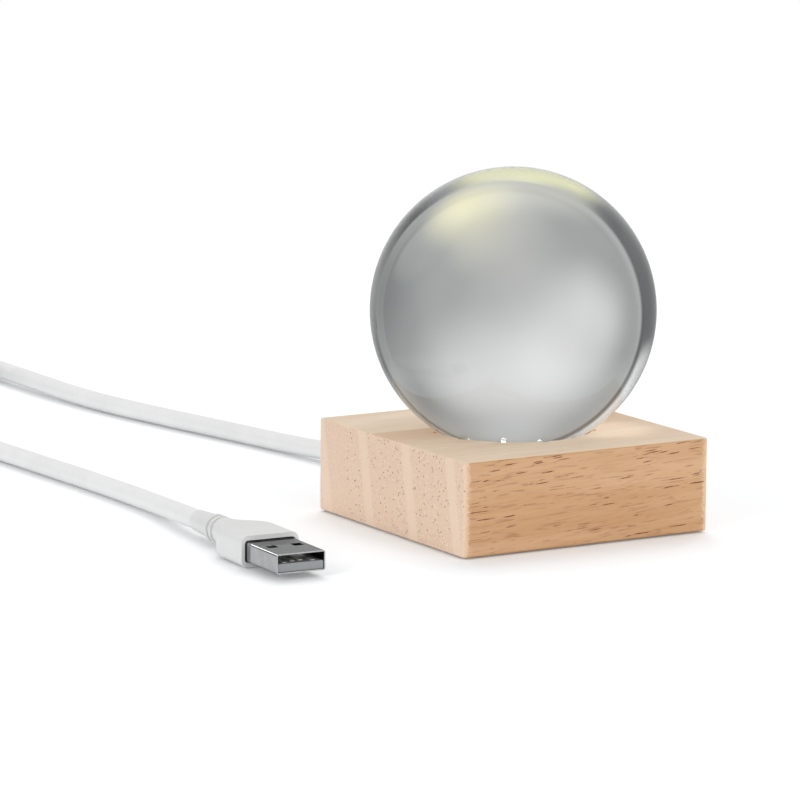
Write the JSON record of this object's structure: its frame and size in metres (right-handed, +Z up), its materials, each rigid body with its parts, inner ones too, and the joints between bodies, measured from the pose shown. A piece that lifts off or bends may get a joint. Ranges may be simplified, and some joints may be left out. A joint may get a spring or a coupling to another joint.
{
  "type": "glass ball lamp",
  "caption": "Small table light: a clear glass ball resting in a dished square wood block that holds a ring of LEDs, fed by a white USB lead.",
  "frame": {"origin": "centre of the wood block's footprint, on the table, at the underside of its feet", "axes": "+Z up through the ball; -Y is the long-grain front face; +Y is the face that the lead leaves; -X is the end-grain face"},
  "size_m": [0.1142, 0.3102, 0.0828],
  "materials": {
    "clear_glass": "polished, clear",
    "pale_wood": "fine sanded, clear matt oil",
    "white_board": "white solder mask",
    "phosphor": "yellow silicone fill, lit",
    "chip_ceramic": "black glazed top",
    "solder": "bright tin",
    "screw_steel": "zinc plated",
    "red_wire": "smooth insulation",
    "black_wire": "smooth insulation",
    "white_jacket": "smooth, slightly satin",
    "nylon_tie": "translucent white nylon",
    "white_rubber": "matt",
    "cover_plastic": "fine moulded texture",
    "foot_rubber": "matt",
    "led_plastic": "white moulded reflector",
    "band_strap": "woven hook and loop strap",
    "white_grip": "satin moulded",
    "shell_steel": "bright nickel plate",
    "tongue_plastic": "moulded",
    "contact_gold": "gold flash"
  },
  "bodies": {
    "base": {"wood_base": "pale_wood", "led_board": "white_board", "led_phosphors": "phosphor", "resistors": "chip_ceramic", "solder_joints": "solder", "board_screws": "screw_steel", "wire_red": "red_wire", "wire_black": "black_wire", "cord_entry": "white_jacket", "strain_relief_tie": "nylon_tie", "grommet": "white_rubber", "bottom_cover": "cover_plastic", "cover_screws": "screw_steel", "coil_tie": "band_strap", "plug_overmold": "white_grip", "plug_shell": "shell_steel", "plug_tongue": "tongue_plastic", "plug_contacts": "contact_gold", "foot_front_left": "foot_rubber", "foot_front_right": "foot_rubber", "foot_rear_left": "foot_rubber", "foot_rear_right": "foot_rubber", "cord_lead": "white_jacket", "cord_coil": "white_jacket", "cord_return": "white_jacket", "led_01": "led_plastic", "led_02": "led_plastic", "led_03": "led_plastic", "led_04": "led_plastic", "led_05": "led_plastic", "led_06": "led_plastic", "led_07": "led_plastic", "led_08": "led_plastic", "led_09": "led_plastic", "led_10": "led_plastic", "led_11": "led_plastic", "led_12": "led_plastic"},
    "ball": {"glass_ball": "clear_glass"}
  },
  "joints": [
    {"name": "ball_lift", "type": "slide", "parent": "base", "child": "ball", "axis": [0, 0, 1], "range_m": [0, 0.06]}
  ]
}
